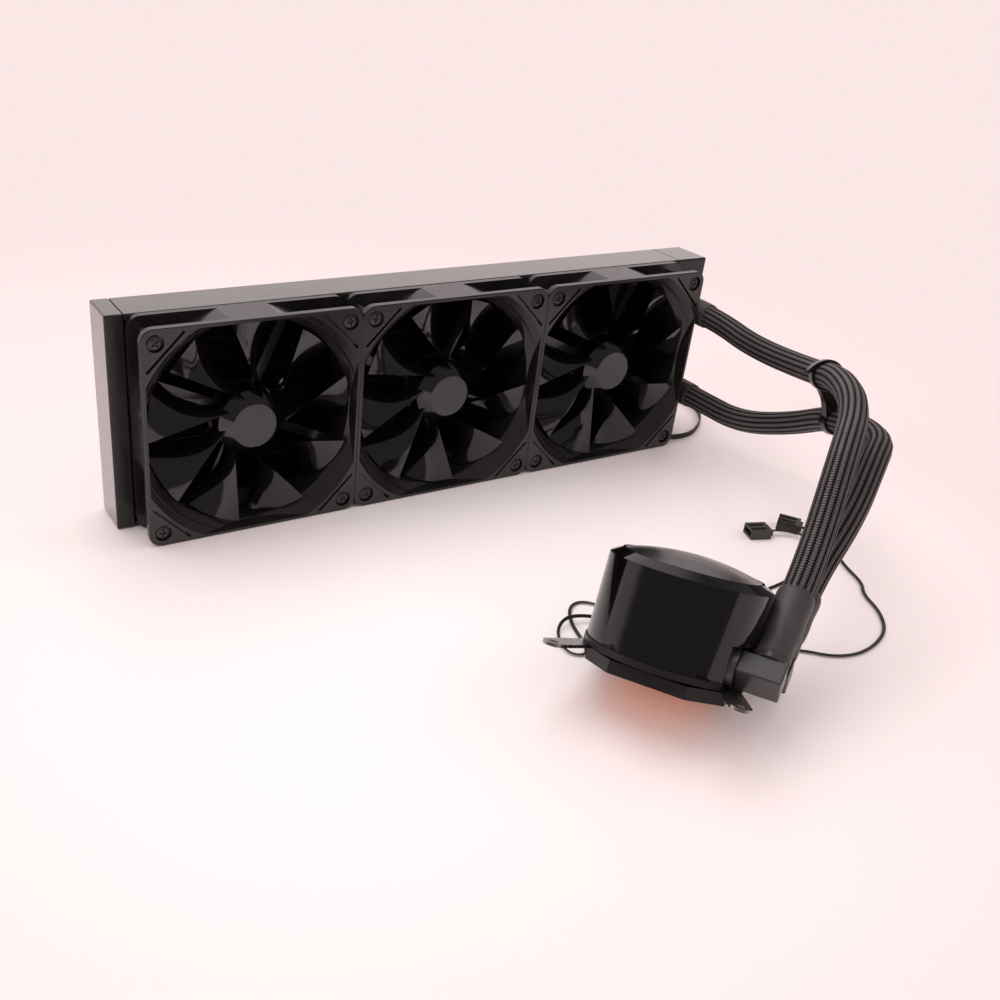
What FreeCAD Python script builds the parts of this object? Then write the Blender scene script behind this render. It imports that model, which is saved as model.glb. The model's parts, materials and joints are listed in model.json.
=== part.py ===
import FreeCAD, Part
import math
import os

# All-in-one liquid cooler: a radiator with three fans stands on its long edge, and a round pump
# lies tilted in front of it at the end of two hoses.
# Millimetres. X runs along the radiator, +Y from the fans to the back, +Z up.
# The origin is the middle of the edge that the radiator stands on.

V = FreeCAD.Vector
X = V(1, 0, 0)
Y = V(0, 1, 0)
Z = V(0, 0, 1)

# Fans
fan_size = 120.0
fan_depth = 25.0
fan_names = ["left", "middle", "right"]
fan_turns = [4.8, 22.9, 6.9]
fan_corner_r = 7.0
fan_flange_t = 4.0
fan_bore_edge = 2.1
fan_bore_r = fan_size / 2 - fan_bore_edge
fan_barrel_wall = 3.6
fan_flare_rise = 7.6
fan_flare_r = fan_bore_r + fan_flare_rise
fan_flare_depth = 9.0
fan_flare_margin = 1.8
fan_rim_r = 0.6
fan_hole_inset = 7.5
fan_hole_pitch = fan_size - 2 * fan_hole_inset
fan_hole_r = 2.15
fan_recess_r = 4.6
fan_recess_depth = 2.2
fan_slot_offset = fan_flare_r + 1.1
fan_slot_length = 28.0
fan_slot_width = 1.4
fan_slot_depth = 2.5
fan_mount_r = 19.0
fan_mount_t = 3.0
strut_count = 4
strut_width = 5.0
strut_angle = 25.0

# Fan rotor and motor
blade_count = 9
blade_tip_gap = 1.1
blade_root_reach = 14.0
blade_lead_root = -4.8
blade_lead_slope = 0.52
blade_root_chord = 1.6
blade_tip_chord = 34.5
blade_front = 4.4
blade_back = 19.6
blade_root_drop = 1.6
blade_camber = 0.07
blade_t = 1.6
hub_front = 3.0
hub_nose_r = 13.0
hub_r = 18.0
hub_back = 20.6
hub_wall = 1.6
hub_shoulder = 9.0
hub_boss_r = 3.6
hub_boss_depth = 3.2
magnet_t = 1.6
magnet_length = 9.0
motor_air_gap = 0.5
fan_shaft_r = 1.5
shaft_seat_clearance = 0.02
shaft_clearance = 0.03
bearing_r = 3.2
bearing_length = 11.0
bearing_post_wall = 1.4
stator_length = 8.0
stator_seat_clearance = 0.1

# Radiator
tank_left_length = 10.0
tank_right_length = 24.0
radiator_depth = 27.2
tank_wall = 1.5
tank_corner_r = 1.2
header_t = 1.5
tube_rows = 12
tube_t = 1.8
core_depth = 18.0
fin_t = 0.5
fin_pitch = 7.5
slot_clearance = 0.1
rail_t = 1.5
rail_bend_r = 1.2
rail_flange_height = 11.5
rail_notch_width = 9.0
rail_notch_depth = 8.5
rail_notch_r = 3.0
case_hole_r = 1.6
case_hole_pitch = fan_hole_pitch

# Screws through the fans
fan_screw_r = 1.75
fan_screw_head_r = 3.6
fan_screw_head_t = 2.0
fan_screw_beyond = 2.0
fan_screw_thread_clearance = 0.05

# Hose ports on the right tank
port_inset = 9.0
port_height = 28.0
port_collar_r = 7.6
port_collar_t = 3.0
barb_r = 3.2
barb_bore_r = 2.2
barb_ridge = 0.45
barb_length = 13.0

# Hoses
hose_r = 7.2
hose_bore_r = 3.7
sleeve_wall = 0.7
sleeve_second_wall = 0.4
sleeve_clearance = 0.05
sleeve_radiator_length = 18.0
sleeve_pump_length = 38.0
sleeve_pump_step = 13.0

# Hose comb
comb_wall = 1.8
comb_t = 5.5
comb_web_t = 4.0
comb_clearance = 0.2
comb_upper_station = 132.0
comb_lower_station = 138.0

# Pump, in its own frame: +Z is its axis, the joint between shell and base is its origin
pump_x = -11.4
pump_y = -248.4
pump_tilt = 24.05
pump_lean_heading = 34.3
pump_heading = -59.4
shell_r = 36.3
shell_height = 38.4
shell_wall = 3.0
shell_chamfer = 5.2
shell_chamfer_rise = 3.2
shell_ledge_r = shell_r - 10.3
shell_ledge_t = 1.6
shell_flat_x = shell_r - 7.8
shell_flat_height = 16.0
relief_clearance = 0.4
relief_length = 60.0
cap_gap = 1.1
cap_edge = 2.4
cap_rise = 4.4
cap_wall = 1.8

base_flange_r = shell_r + 0.8
base_flange_t = 3.0
bracket_t = 1.5
base_neck_half = 24.0
base_block_half = 31.0
base_block_cut = 14.0
base_block_t = 4.5
base_bore_r = 20.0
plate_half = 25.0
plate_cut = 8.0
plate_t = 2.0
plate_sink = 1.2
plate_clearance = 0.1
plate_boss_height = 3.0
plate_fin_count = 8
plate_fin_t = 1.0
plate_fin_height = 1.0
gasket_in_r = 20.6
gasket_out_r = 22.2
gasket_t = 1.2
plate_screw_count = 8
plate_screw_circle_r = 24.0
plate_screw_r = 1.2
plate_screw_head_r = 1.9
plate_screw_head_t = 1.0
plate_screw_length = 6.0
screw_clearance = 0.05

housing_t = 2.0
housing_r = shell_r - 9.3
can_r = 9.4
can_wall = 1.0
can_height = 16.0
impeller_r = 14.0
impeller_disc_t = 1.0
impeller_vane_count = 6
impeller_vane_t = 1.2
impeller_lift = 0.3
impeller_foot_r = 3.0
impeller_top_gap = 0.6
rotor_gap = 0.5
impeller_shaft_r = 1.2
impeller_shaft_seat = 1.5
pump_stator_r = 16.5
pump_stator_t = 10.0
pump_stator_teeth = 4
tooth_width = 7.0
board_r = shell_r - 11.3
board_t = 1.6
board_post_r = 2.2
board_post_height = 19.0
board_post_circle_r = board_r - 3.5
board_post_count = 3

port_block_depth = 6.0
bridge_lap = 8.0
port_block_half = 16.4
elbow_offset = 12.7
elbow_axis_height = 6.0
elbow_boss_r = 8.7
elbow_boss_t = 3.0
elbow_length = 19.0
elbow_half_depth = 6.5
elbow_half_height = 5.8
elbow_edge = 0.6
elbow_barb_x = 42.4
elbow_swivel = 48.0
elbow_collar_t = 3.0
elbow_bore_r = 3.0

arm_hole_half = 40.0
arm_hole_r = 2.1
arm_end_r = 4.6
arm_root_x = 31.0
arm_root_y = 13.0
bracket_inner_x = 25.0
bracket_outer_x = 36.0
bracket_half_y = 17.5
bracket_screw_r = 1.4
bracket_screw_head_r = 2.2
bracket_screw_head_t = 1.4
bracket_screw_x = 28.0
bracket_screw_y = 9.0

# Leads
lead_r = 0.9
fan_lead_r = 2.0
grommet_r = 2.6
grommet_t = 1.2
grommet_bore_clearance = 0.05
grommet_angle = 70.0
grommet_height = 7.0
plug_length = 14.0
plug_width = 10.0
plug_height = 6.0
plug_neck = 1.6
coil_turn_r = 22.0
coil_band = 3.0

# Hose routes: the first point is the port's end face, the last two are worked out from the elbow
upper_hose_points = [
    (195, -16.6, 88), (195, -42.6, 88), (199, -74.6, 80), (194, -127.6, 84), (165, -166.6, 99),
    (132, -204.6, 102), (88, -235.6, 93), (59, -255.6, 66),
]
lower_hose_points = [
    (195, -16.6, 32), (195, -43.6, 32), (197, -78.6, 31), (204, -111.6, 43), (199.5, -145.6, 63),
    (170, -197.6, 76), (133, -220.6, 78), (102, -238.6, 63),
]
upper_hose_last_run = 31.3
lower_hose_last_run = 44.0

# Lead routes: the first two points are worked out from the pump's grommets
power_lead_points = [
    (21, -199, 3.2), (16, -184, 1.2), (4, -170, 1.2), (-10, -174, 1.2), (-18, -191, 1.2),
    (-21, -210, 1.2), (-34, -212, 1.2), (-33, -193, 1.2), (-16, -185.5, 3.8), (2, -184, 3.8),
    (26, -186, 1.2), (58, -193, 1.2), (88, -202, 1.2), (119, -201, 1.2), (146, -192, 1.2),
    (164, -180, 1.2), (168, -170, 2.4), (160, -161, 3.0), (151.2, -158, 3.0),
]
light_lead_points = [
    (49, -241, 3.2), (64, -246, 1.2), (79, -252, 1.2), (91, -262, 1.2), (104, -267, 1.2),
    (122, -265, 1.2), (137, -254, 1.2), (146, -238, 1.2), (152, -225, 1.2), (160, -214, 1.2),
    (167, -198, 1.2), (178, -180, 2.4), (177.1, -169.3, 3.0), (172.5, -162.8, 3.0),
]
fan_lead_start = (159.55, -28, 12.87)
fan_lead_points = [
    (165.3, -28, 6.0), (174, -29, 2.4), (184, -32, 2.1), (194, -34, 2.1), (204, -32.5, 2.1),
    (214, -27, 2.1), (226, -18, 2.1), (236, -6, 2.1), (240, 5, 2.1), (239, 17, 2.1),
    (232, 28, 2.1), (220, 35, 2.1), (204, 39, 2.1),
]
coil_centre = (168, 52, 0)

# Derived sizes
fan_row = fan_size * len(fan_names)
fan_back_y = -radiator_depth / 2
fan_front_y = fan_back_y - fan_depth
fan_mid_z = fan_size / 2
radiator_height = fan_size
row_left = -fan_row / 2
row_right = fan_row / 2
blade_tip_r = fan_bore_r - blade_tip_gap
hub_cavity_r = hub_r - hub_wall
magnet_in_r = hub_cavity_r - magnet_t
stator_r = magnet_in_r - motor_air_gap
bearing_post_r = bearing_r + bearing_post_wall
mount_front = fan_depth - fan_mount_t
base_bottom = -(base_flange_t + bracket_t + base_block_t)
block_bottom = base_bottom - plate_sink
plate_bottom = base_bottom - plate_t
plate_boss_top = base_bottom + plate_boss_height
cap_r = shell_r - shell_chamfer - cap_gap
bracket_z = -base_flange_t - bracket_t


def box(x0, y0, z0, x1, y1, z1):
    return Part.makeBox(x1 - x0, y1 - y0, z1 - z0, V(x0, y0, z0))


def cylinder(r, h, base, axis=Z):
    return Part.makeCylinder(r, h, base, axis)


def ring(outer_r, inner_r, h, base, axis=Z):
    return cylinder(outer_r, h, base, axis).cut(cylinder(inner_r, h, base, axis))


def revolve(points, centre, axis, radial):
    """Solid of revolution: each point is (radius, height along the axis)."""
    corners = [centre + radial * r + axis * h for r, h in points]
    face = Part.Face(Part.makePolygon(corners + [corners[0]]))
    return face.revolve(centre, axis, 360)


def prism(points, direction):
    face = Part.Face(Part.makePolygon(points + [points[0]]))
    return face.extrude(direction)


def octagon(half, cut, z0, z1):
    flat = half - cut
    corners = [
        (half, -flat), (half, flat), (flat, half), (-flat, half),
        (-half, flat), (-half, -flat), (-flat, -half), (flat, -half),
    ]
    return prism([V(x, y, z0) for x, y in corners], V(0, 0, z1 - z0))


def rounded_square(size, r, y0, y1):
    half = size / 2
    block = box(-half, y0, -half, half, y1, half)
    corner_edges = [e for e in block.Edges if abs(e.tangentAt(e.FirstParameter).dot(Y)) > 0.99]
    block = block.makeFillet(r, corner_edges)
    rims = [e for e in block.Edges if e.BoundBox.YLength < fan_rim_r / 10]
    return block.makeFillet(fan_rim_r, rims)


def fuse(shapes):
    return shapes[0].multiFuse(shapes[1:]).removeSplitter() if len(shapes) > 1 else shapes[0]


def cut_all(shape, tools):
    return shape.cut(Part.makeCompound(tools))


def around_y(shape, angle):
    turned = shape.copy()
    turned.rotate(V(0, 0, 0), Y, angle)
    return turned


def around_z(shape, angle):
    turned = shape.copy()
    turned.rotate(V(0, 0, 0), Z, angle)
    return turned


def moved(shape, offset):
    placed = shape.copy()
    placed.translate(offset)
    return placed


parts = {}


def keep(name, shape):
    parts[name] = shape


# Fan frame, about its own axis, front face at y = 0
def fan_frame():
    half = fan_size / 2
    barrel_r = fan_bore_r + fan_barrel_wall
    body = rounded_square(fan_size, fan_corner_r, 0, fan_depth)
    waist = box(-half, fan_flange_t, -half, half, fan_depth - fan_flange_t, half)
    waist = waist.cut(cylinder(barrel_r, fan_depth, V(0, 0, 0), Y))
    body = body.cut(waist)
    flare = Part.makeCone(fan_flare_r, fan_bore_r, fan_flare_depth, V(0, 0, 0), Y)
    inner = half - fan_flare_margin
    flare = flare.common(box(-inner, 0, -inner, inner, fan_flare_depth, inner))
    body = body.cut(cylinder(fan_bore_r, fan_depth, V(0, 0, 0), Y)).cut(flare)
    offset = fan_hole_pitch / 2
    holes = []
    for sx in (-1, 1):
        for sz in (-1, 1):
            holes.append(cylinder(fan_hole_r, fan_depth, V(sx * offset, 0, sz * offset), Y))
            holes.append(cylinder(fan_recess_r, fan_recess_depth, V(sx * offset, 0, sz * offset), Y))
    slot = box(fan_slot_offset, 0, -fan_slot_length / 2,
               fan_slot_offset + fan_slot_width, fan_slot_depth, fan_slot_length / 2)
    for i in range(4):
        holes.append(around_y(slot, 45 + 90 * i))
    body = cut_all(body, holes)
    pieces = [body, cylinder(fan_mount_r, fan_mount_t, V(0, mount_front, 0), Y)]
    for i in range(strut_count):
        strut = box(fan_mount_r - 2, mount_front, -strut_width / 2,
                    fan_bore_r + fan_barrel_wall / 2, fan_depth, strut_width / 2)
        pieces.append(around_y(strut, strut_angle + 360 / strut_count * i))
    post_length = bearing_length + 1.0
    pieces.append(cylinder(bearing_post_r, post_length, V(0, fan_depth - 1.5 - post_length, 0), Y))
    frame = fuse(pieces)
    return frame.cut(cylinder(bearing_r, bearing_length, V(0, bearing_front(), 0), Y))


def bearing_front():
    return fan_depth - 2.5 - bearing_length


def blade_section(reach):
    """Lens-shaped slice of a blade on a plane that stands off from the fan's axis by reach."""
    share = (reach - blade_root_reach) / (blade_tip_r - blade_root_reach)
    lead = blade_lead_root + blade_lead_slope * (reach - blade_root_reach)
    chord = blade_root_chord + (blade_tip_chord - blade_root_chord) * share ** 2
    start = V(reach, blade_front + blade_root_drop * (1 - share), lead)
    end = V(reach, blade_back - blade_root_drop * (1 - share), lead - chord)
    across = (end - start).cross(X)
    across.normalize()
    middle = (start + end) / 2 + across * blade_camber * (end - start).Length
    front_arc = Part.Arc(start, middle + across * blade_t / 2, end).toShape()
    back_arc = Part.Arc(end, middle - across * blade_t / 2, start).toShape()
    return Part.Wire([front_arc, back_arc])


def fan_rotor():
    reaches = [blade_root_reach, 22.0, 34.0, 46.0, blade_tip_r + 1.0]
    blade = Part.makeLoft([blade_section(reach) for reach in reaches], True, False)
    blade = blade.common(cylinder(blade_tip_r, fan_depth, V(0, 0, 0), Y))
    hub = revolve([(0, hub_front), (hub_nose_r - 0.8, hub_front), (hub_nose_r, hub_front + 0.8),
                   (hub_r, hub_shoulder), (hub_r, hub_back), (0, hub_back)], V(0, 0, 0), Y, X)
    pieces = [hub] + [around_y(blade, 360 / blade_count * i) for i in range(blade_count)]
    rotor = pieces[0].multiFuse(pieces[1:])
    cavity_front = hub_shoulder + 0.6
    cavity = revolve([(hub_boss_r, hub_front + hub_wall), (hub_nose_r - hub_wall, hub_front + hub_wall),
                      (hub_cavity_r, cavity_front), (hub_cavity_r, hub_back), (0, hub_back),
                      (0, hub_front + hub_wall + hub_boss_depth),
                      (hub_boss_r, hub_front + hub_wall + hub_boss_depth)], V(0, 0, 0), Y, X)
    rotor = rotor.cut(cavity)
    seat_r = fan_shaft_r + shaft_seat_clearance
    return rotor.cut(cylinder(seat_r, hub_back, V(0, hub_front + hub_wall, 0), Y))


def fan_parts():
    frame = fan_frame()
    rotor = fan_rotor()
    magnet = ring(hub_cavity_r, magnet_in_r, magnet_length, V(0, hub_back - magnet_length, 0), Y)
    shaft_front = hub_front + hub_wall
    shaft_back = fan_depth - 2.5 - 0.3
    shaft = cylinder(fan_shaft_r, shaft_back - shaft_front, V(0, shaft_front, 0), Y)
    bearing = ring(bearing_r, fan_shaft_r + shaft_clearance, bearing_length, V(0, bearing_front(), 0), Y)
    stator_y = mount_front - stator_length
    core = ring(stator_r * 0.55, bearing_post_r + stator_seat_clearance, stator_length,
                V(0, stator_y, 0), Y)
    teeth = [core]
    for i in range(4):
        arm = box(stator_r * 0.5, stator_y, -2.2, stator_r, stator_y + stator_length, 2.2)
        shoe = ring(stator_r, stator_r - 1.6, stator_length, V(0, stator_y, 0), Y)
        wedge = box(stator_r * 0.6, stator_y, -stator_r * 0.55, stator_r + 1,
                    stator_y + stator_length, stator_r * 0.55)
        teeth.append(around_y(arm.common(cylinder(stator_r, fan_depth, V(0, 0, 0), Y)), 90 * i))
        teeth.append(around_y(shoe.common(wedge), 90 * i))
    stator = fuse(teeth)
    for i, side in enumerate(fan_names):
        at = V(row_left + fan_size * (i + 0.5), fan_front_y, fan_mid_z)
        keep("fan_frame_" + side, moved(frame, at))
        keep("fan_rotor_" + side, moved(around_y(rotor, -fan_turns[i]), at))
        keep("fan_magnet_" + side, moved(magnet, at))
        keep("fan_shaft_" + side, moved(shaft, at))
        keep("fan_bearing_" + side, moved(bearing, at))
        keep("fan_stator_" + side, moved(stator, at))


def fan_hole_places():
    places = []
    for i in range(len(fan_names)):
        centre = row_left + fan_size * (i + 0.5)
        for sx in (-1, 1):
            for sz in (-1, 1):
                places.append((centre + sx * fan_hole_pitch / 2, fan_mid_z + sz * fan_hole_pitch / 2))
    return places


def fan_screws():
    head_y = fan_front_y + fan_recess_depth - fan_screw_head_t
    length = fan_depth - fan_recess_depth + rail_t + fan_screw_beyond
    profile = [(0, 0), (fan_screw_head_r - 1.2, 0), (fan_screw_head_r, 0.9),
               (fan_screw_head_r, fan_screw_head_t), (fan_screw_r, fan_screw_head_t),
               (fan_screw_r, fan_screw_head_t + length), (0, fan_screw_head_t + length)]
    screw = revolve(profile, V(0, head_y, 0), Y, X)
    keep("fan_screws", Part.makeCompound([moved(screw, V(x, 0, z)) for x, z in fan_hole_places()]))


# Radiator
def rail(top):
    half = radiator_depth / 2
    body = box(row_left, -half, 0, row_right, half, rail_flange_height)
    bends = [e for e in body.Edges if e.BoundBox.ZMax < rail_t and e.BoundBox.XLength > fan_size]
    body = body.makeFillet(rail_bend_r, bends)
    body = body.cut(box(row_left, -half + rail_t, rail_t, row_right, half - rail_t, rail_flange_height))
    tools = []
    for i in range(len(fan_names) + 1):
        x = row_left + fan_size * i
        notch_z = rail_flange_height - rail_notch_depth + rail_notch_r
        notch = box(x - rail_notch_width / 2, -half, notch_z, x + rail_notch_width / 2, half,
                    rail_flange_height)
        foot = box(x - rail_notch_width / 2 + rail_notch_r, -half, notch_z - rail_notch_r,
                   x + rail_notch_width / 2 - rail_notch_r, half, notch_z)
        tools += [notch, foot]
        for sx in (-1, 1):
            tools.append(cylinder(rail_notch_r, radiator_depth,
                                  V(x + sx * (rail_notch_width / 2 - rail_notch_r), -half, notch_z), Y))
    edge = (fan_size - fan_hole_pitch) / 2
    for i in range(len(fan_names)):
        centre = row_left + fan_size * (i + 0.5)
        for sx in (-1, 1):
            x = centre + sx * fan_hole_pitch / 2
            tools.append(cylinder(fan_screw_r + fan_screw_thread_clearance, half, V(x, -half, edge), Y))
            x = centre + sx * case_hole_pitch / 2
            tools.append(cylinder(case_hole_r, half, V(x, 0, edge), Y))
    body = cut_all(body, tools)
    if top:
        body = body.mirror(V(0, 0, fan_mid_z), Z)
    return body


def tube_pitch():
    inside = radiator_height - 2 * rail_t
    fin_height = (inside - tube_rows * tube_t) / (tube_rows + 1)
    return fin_height, fin_height + tube_t


def flat_tube(z, grow):
    """One flat tube with round edges; grow opens it up to make its slot."""
    half_t = tube_t / 2 + grow
    half_w = core_depth / 2 - tube_t / 2
    x0 = row_left - header_t
    x1 = row_right + header_t
    middle = box(x0, -half_w, z - half_t, x1, half_w, z + half_t)
    edges = [cylinder(half_t, x1 - x0, V(x0, side * half_w, z), X) for side in (-1, 1)]
    return fuse([middle] + edges)


def core():
    fin_height, pitch = tube_pitch()
    centres = [rail_t + fin_height + tube_t / 2 + pitch * i for i in range(tube_rows)]
    keep("flat_tubes", Part.makeCompound([flat_tube(z, 0) for z in centres]))
    strips = []
    folds = int(round((fan_row - 2) / fin_pitch)) * 2
    step = (fan_row - 2) / folds
    for i in range(tube_rows + 1):
        low = rail_t + pitch * i
        high = low + fin_height
        ridge = []
        trough = []
        for j in range(folds + 1):
            x = row_left + 1 + step * j
            up = j % 2 == 0
            ridge.append(V(x, -core_depth / 2, high if up else low + fin_t))
            trough.append(V(x, -core_depth / 2, high - fin_t if up else low))
        strips.append(prism(ridge + trough[::-1], V(0, core_depth, 0)))
    keep("cooling_fins", Part.makeCompound(strips))
    slots = [flat_tube(z, slot_clearance) for z in centres]
    half = radiator_depth / 2 - tank_wall
    for name, x0 in (("header_left", row_left - header_t), ("header_right", row_right)):
        plate = box(x0, -half, tank_wall, x0 + header_t, half, radiator_height - tank_wall)
        keep(name, cut_all(plate, slots))


def tank(x0, x1, mouth_at_x1):
    half = radiator_depth / 2
    body = box(x0, -half, 0, x1, half, radiator_height)
    body = body.makeFillet(tank_corner_r, body.Edges)
    start = x0 if not mouth_at_x1 else x0 + tank_wall
    end = x1 if mouth_at_x1 else x1 - tank_wall
    inside = box(start, -half + tank_wall, tank_wall, end, half - tank_wall,
                 radiator_height - tank_wall)
    return body.cut(inside)


def port_places():
    x = row_right + tank_right_length - port_inset
    return [("upper", V(x, fan_back_y, fan_mid_z + port_height)),
            ("lower", V(x, fan_back_y, fan_mid_z - port_height))]


def tanks():
    keep("tank_left", tank(row_left - tank_left_length, row_left, True))
    right = tank(row_right, row_right + tank_right_length, False)
    half = radiator_depth / 2
    divider = box(row_right + header_t, -half + tank_wall / 2, fan_mid_z - tank_wall / 2,
                  row_right + tank_right_length - tank_wall / 2, half - tank_wall / 2,
                  fan_mid_z + tank_wall / 2)
    right = fuse([right, divider])
    for name, at in port_places():
        right = right.cut(cylinder(barb_r, 2 * tank_wall, at - Y * tank_wall * 0.2, Y))
        fitting = barb_fitting(at, -Y, port_collar_t, tank_wall)
        keep("port_" + name, fitting.cut(barb_bore(at, -Y, port_collar_t, tank_wall)))
    keep("tank_right", right)


def barb_fitting(base, direction, collar_t, plug_depth):
    """Collar on a wall, a spigot into the wall and a ridged barb that the hose fits over."""
    side = Z if abs(direction.dot(Z)) < 0.9 else X
    radial = direction.cross(side)
    radial.normalize()
    tip = collar_t + barb_length
    tooth = barb_length / 3
    profile = [(0, -plug_depth), (barb_r, -plug_depth), (barb_r, 0), (port_collar_r, 0),
               (port_collar_r, collar_t), (barb_r, collar_t)]
    for i in range(3):
        profile.append((barb_r, collar_t + tooth * (i + 0.35)))
        profile.append((barb_r + barb_ridge, collar_t + tooth * (i + 0.35)))
        profile.append((barb_r, collar_t + tooth * (i + 1)))
    profile.append((0, tip))
    return revolve(profile, base, direction, radial)


def barb_bore(base, direction, collar_t, depth):
    """The way through a barb, from its tip to a depth below its base."""
    return cylinder(barb_bore_r, depth + collar_t + barb_length, base - direction * depth, direction)


# Cords and hoses: straight runs joined by tangent arcs
bend_share = 0.45


def smooth_path(points, label):
    corners = [V(*p) for p in points]
    edges = []
    start = corners[0]
    radii = []
    for i in range(1, len(corners) - 1):
        back = corners[i - 1] - corners[i]
        ahead = corners[i + 1] - corners[i]
        cut = bend_share * min(back.Length, ahead.Length)
        turn = math.pi - back.getAngle(ahead)
        radii.append(cut / math.tan(turn / 2))
        back.normalize()
        ahead.normalize()
        enter = corners[i] + back * cut
        leave = corners[i] + ahead * cut
        towards = back + ahead
        towards.normalize()
        apex = corners[i] + towards * (radii[-1] / math.cos(turn / 2) - radii[-1])
        edges.append(Part.LineSegment(start, enter).toShape())
        edges.append(Part.Arc(enter, apex, leave).toShape())
        start = leave
    edges.append(Part.LineSegment(start, corners[-1]).toShape())
    path = Part.Wire(edges)
    if label:
        print(label, "length", round(path.Length, 1), "radii", [round(r) for r in radii])
    return path


def tube(points, outer_r, label, bore_r=0):
    path = smooth_path(points, label)
    start = V(*points[0])
    direction = V(*points[1]) - start
    outer = sweep_circle(path, start, direction, outer_r)
    section = math.pi * (outer_r ** 2 - bore_r ** 2)
    if bore_r:
        outer = outer.cut(sweep_circle(path, start, direction, bore_r))
    print(label, "volume ratio", round(outer.Volume / (section * path.Length), 4))
    return outer


def sweep_circle(path, start, direction, r):
    profile = Part.Wire([Part.makeCircle(r, start, direction)])
    return path.makePipeShell([profile], True, False)


# Pump
def pump_rotation():
    lean = FreeCAD.Rotation(Z, pump_lean_heading)
    tilt = FreeCAD.Rotation(Y, pump_tilt)
    turn = FreeCAD.Rotation(Z, pump_heading - pump_lean_heading)
    return lean.multiply(tilt).multiply(turn)


def pump_shell():
    r_in = shell_r - shell_wall
    top = shell_height + shell_chamfer_rise
    ring_r = shell_r - shell_chamfer
    ledge_top = top - cap_edge
    profile = [(r_in, 0), (shell_r, 0), (shell_r, shell_height), (ring_r, top),
               (ring_r, ledge_top), (shell_ledge_r, ledge_top),
               (shell_ledge_r, ledge_top - shell_ledge_t), (r_in, ledge_top - shell_ledge_t)]
    shell = revolve(profile, V(0, 0, 0), Z, X)
    shell = shell.cut(box(shell_flat_x, -shell_r, 0, shell_r + 1, shell_r, shell_flat_height))
    return cut_all(shell, [grommet_hole(side) for side in (-1, 1)] + [hose_relief()])


def grommet_axis(side):
    angle = math.radians(90 + side * (90 - grommet_angle))
    return V(math.cos(angle), math.sin(angle), 0)


def grommet_hole(side):
    axis = grommet_axis(side)
    return cylinder(grommet_r, 2 * shell_wall, axis * (shell_r - 1.5 * shell_wall) + Z * grommet_height, axis)


def grommet(side):
    axis = grommet_axis(side)
    base = axis * (shell_r - shell_wall - grommet_t) + Z * grommet_height
    total = shell_wall + 2 * grommet_t
    r = grommet_r - 0.05
    profile = [(lead_r + grommet_bore_clearance, 0), (r, 0), (r, total),
               (lead_r + grommet_bore_clearance, total)]
    return revolve(profile, base, axis, Z)


def pump_cap():
    bottom = shell_height + shell_chamfer_rise - cap_edge
    edge_top = bottom + cap_edge
    crown = edge_top + cap_rise
    dome_r = (cap_r ** 2 + cap_rise ** 2) / (2 * cap_rise)
    disc = cylinder(cap_r, crown - bottom, V(0, 0, bottom))
    dome = Part.makeSphere(dome_r, V(0, 0, crown - dome_r))
    inner = Part.makeSphere(dome_r - cap_wall, V(0, 0, crown - dome_r))
    hollow = cylinder(cap_r - cap_wall, crown - bottom, V(0, 0, bottom)).common(inner)
    return disc.common(dome).cut(hollow)


def plate_screw_places():
    step = 360 / plate_screw_count
    angles = [math.radians(step * (i + 0.5)) for i in range(plate_screw_count)]
    return [V(plate_screw_circle_r * math.cos(a), plate_screw_circle_r * math.sin(a), 0) for a in angles]


def bracket_screw_places():
    return [V(sx * bracket_screw_x, sy * bracket_screw_y, 0) for sx in (-1, 1) for sy in (-1, 1)]


def pump_base():
    flange = cylinder(base_flange_r, base_flange_t, V(0, 0, -base_flange_t))
    flange = flange.cut(box(shell_flat_x, -base_flange_r, -base_flange_t, base_flange_r + 1,
                            base_flange_r, 0))
    neck = box(-base_neck_half, -base_neck_half, bracket_z, base_neck_half, base_neck_half, -base_flange_t)
    block = octagon(base_block_half, base_block_cut, block_bottom, bracket_z)
    base = fuse([flange, neck, block])
    pocket_half = plate_half + plate_clearance
    tools = [cylinder(base_bore_r, -block_bottom, V(0, 0, block_bottom)),
             octagon(pocket_half, plate_cut, block_bottom, base_bottom),
             ring(gasket_out_r, gasket_in_r, gasket_t, V(0, 0, base_bottom))]
    deep = base_bottom - plate_bottom
    for place in plate_screw_places():
        depth = plate_screw_length - plate_screw_head_t - deep + plate_screw_head_t
        tools.append(cylinder(plate_screw_r + screw_clearance, depth, place + Z * base_bottom))
    for place in bracket_screw_places():
        tools.append(cylinder(bracket_screw_r + screw_clearance, -block_bottom, place + Z * block_bottom))
        tools.append(cylinder(bracket_screw_head_r + screw_clearance, bracket_screw_head_t,
                              place + Z * block_bottom))
    return cut_all(base, tools)


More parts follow.
